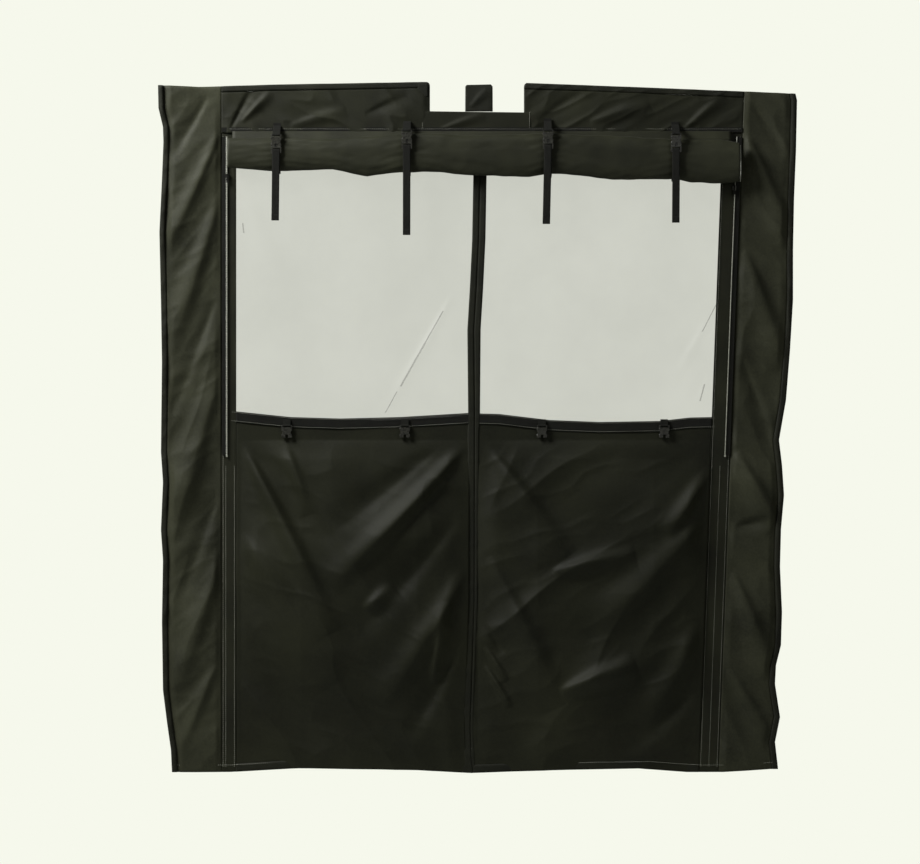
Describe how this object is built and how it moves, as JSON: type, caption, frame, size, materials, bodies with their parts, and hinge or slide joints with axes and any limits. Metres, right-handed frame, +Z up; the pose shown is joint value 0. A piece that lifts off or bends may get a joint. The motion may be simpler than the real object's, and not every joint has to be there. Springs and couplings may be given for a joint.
{
  "type": "hanging rear door screen",
  "caption": "Black cloth screen for a van's rear door: two mesh leaves that part in the middle, a rolled blackout shade under buckled straps, side zips and fold-back flaps.",
  "frame": {"origin": "on the flat back face of the header, at the middle of its centre band under the notch", "axes": "+Z up the hanging screen, +Y out of its back towards the doorway, +X to the right seen from its front"},
  "size_m": [1.706, 0.056, 1.8312],
  "materials": {
    "cloth": "coated polyester, matt with a slight sheen",
    "shade_cloth": "coated blackout cloth, slight sheen",
    "mesh": "fine insect mesh, about three fifths open",
    "webbing": "ribbed polypropylene webbing",
    "magnet": "nickel plated, sealed in the hems",
    "buckle": "moulded acetal, satin",
    "zip_nylon": "nylon coil",
    "zip_metal": "black painted zinc"
  },
  "bodies": {
    "surround": {"header_left": "cloth", "header_right": "cloth", "header_band": "cloth", "header_hem": "cloth", "header_magnets": "magnet", "seam_tape": "webbing", "left_rail": "cloth", "right_rail": "cloth", "zip_tapes": "webbing", "zip_coils": "zip_nylon", "zip_stops": "zip_nylon", "shade_neck": "shade_cloth", "strap_backs": "webbing", "buckle_tabs": "webbing", "buckle_sockets": "buckle"},
    "latch_tab": {"top_tab": "cloth"},
    "shade": {"shade_roll": "shade_cloth", "shade_edge_coils": "zip_nylon"},
    "left_side_flap": {"left_flap": "cloth", "left_flap_hem": "cloth", "left_flap_magnets": "magnet"},
    "left_leaf": {"left_piping": "cloth", "left_mesh": "mesh", "left_lower_panel": "cloth", "left_waistband": "webbing", "left_lower_hem": "cloth", "left_closing_strip": "cloth", "left_closing_magnets": "magnet", "left_lower_loops": "webbing"},
    "left_zip_slider": {"left_slider": "zip_metal"},
    "left_zip_pull": {"left_pull": "webbing"},
    "right_side_flap": {"right_flap": "cloth", "right_flap_hem": "cloth", "right_flap_magnets": "magnet"},
    "right_leaf": {"right_piping": "cloth", "right_mesh": "mesh", "right_lower_panel": "cloth", "right_waistband": "webbing", "right_lower_hem": "cloth", "right_closing_strip": "cloth", "right_closing_magnets": "magnet", "right_lower_loops": "webbing"},
    "right_zip_slider": {"right_slider": "zip_metal"},
    "right_zip_pull": {"right_pull": "webbing"},
    "clip_1": {"clip_1": "buckle", "clip_prongs_1": "buckle", "strap_1": "webbing"},
    "clip_2": {"clip_2": "buckle", "clip_prongs_2": "buckle", "strap_2": "webbing"},
    "clip_3": {"clip_3": "buckle", "clip_prongs_3": "buckle", "strap_3": "webbing"},
    "clip_4": {"clip_4": "buckle", "clip_prongs_4": "buckle", "strap_4": "webbing"},
    "lower_buckle_1": {"lower_socket_1": "buckle"},
    "lower_buckle_2": {"lower_socket_2": "buckle"},
    "lower_buckle_3": {"lower_socket_3": "buckle"},
    "lower_buckle_4": {"lower_socket_4": "buckle"}
  },
  "joints": [
    {"name": "latch_tab_fold", "type": "hinge", "parent": "surround", "child": "latch_tab", "pos_m": [0.004, -0.001, 0.0281], "axis": [1, 0, 0], "range_deg": [0, 90]},
    {"name": "shade_unroll", "type": "slide", "parent": "surround", "child": "shade", "axis": [0, 0, -1], "range_m": [0, 0.72], "deforming": ["shade_neck", "strap_backs"]},
    {"name": "left_flap_fold", "type": "hinge", "parent": "surround", "child": "left_side_flap", "pos_m": [-0.684, -0.001, -0.027], "axis": [0, 0, -1], "range_deg": [0, 90]},
    {"name": "left_leaf_part", "type": "hinge", "parent": "surround", "child": "left_leaf", "pos_m": [-0.645, -0.001, -0.027], "axis": [0, 0, 1], "range_deg": [0, 30]},
    {"name": "left_zip_run", "type": "slide", "parent": "surround", "child": "left_zip_slider", "axis": [0, 0, -1], "range_m": [0, 0.735]},
    {"name": "left_pull_lift", "type": "hinge", "parent": "left_zip_slider", "child": "left_zip_pull", "pos_m": [-0.6671, -0.0102, -0.1404], "axis": [1, 0, 0], "range_deg": [-90, 0]},
    {"name": "right_flap_fold", "type": "hinge", "parent": "surround", "child": "right_side_flap", "pos_m": [0.708, -0.001, -0.027], "axis": [0.0376, 0, 0.9993], "range_deg": [0, 90]},
    {"name": "right_leaf_part", "type": "hinge", "parent": "surround", "child": "right_leaf", "pos_m": [0.655, -0.001, -0.027], "axis": [-0.0376, 0, -0.9993], "range_deg": [0, 30]},
    {"name": "right_zip_run", "type": "slide", "parent": "surround", "child": "right_zip_slider", "axis": [-0.0376, 0, -0.9993], "range_m": [0, 0.704]},
    {"name": "right_pull_lift", "type": "hinge", "parent": "right_zip_slider", "child": "right_zip_pull", "pos_m": [0.68564, -0.0102, -0.17233], "axis": [0.9993, 0, -0.0376], "range_deg": [-90, 0]},
    {"name": "clip_release_1", "type": "slide", "parent": "surround", "child": "clip_1", "axis": [0, 0, -1], "range_m": [0, 0.022], "deforming": ["clip_prongs_1"]},
    {"name": "clip_release_2", "type": "slide", "parent": "surround", "child": "clip_2", "axis": [0, 0, -1], "range_m": [0, 0.022], "deforming": ["clip_prongs_2"]},
    {"name": "clip_release_3", "type": "slide", "parent": "surround", "child": "clip_3", "axis": [0, 0, -1], "range_m": [0, 0.022], "deforming": ["clip_prongs_3"]},
    {"name": "clip_release_4", "type": "slide", "parent": "surround", "child": "clip_4", "axis": [0, 0, -1], "range_m": [0, 0.022], "deforming": ["clip_prongs_4"]},
    {"name": "lower_buckle_swing_1", "type": "hinge", "parent": "left_leaf", "child": "lower_buckle_1", "pos_m": [-0.509, -0.0086, -0.811], "axis": [1, 0, 0], "range_deg": [-60, 0]},
    {"name": "lower_buckle_swing_2", "type": "hinge", "parent": "left_leaf", "child": "lower_buckle_2", "pos_m": [-0.194, -0.0086, -0.811], "axis": [1, 0, 0], "range_deg": [-60, 0]},
    {"name": "lower_buckle_swing_3", "type": "hinge", "parent": "right_leaf", "child": "lower_buckle_3", "pos_m": [0.172, -0.0086, -0.811], "axis": [1, 0, 0], "range_deg": [-60, 0]},
    {"name": "lower_buckle_swing_4", "type": "hinge", "parent": "right_leaf", "child": "lower_buckle_4", "pos_m": [0.498, -0.0086, -0.811], "axis": [1, 0, 0], "range_deg": [-60, 0]}
  ]
}
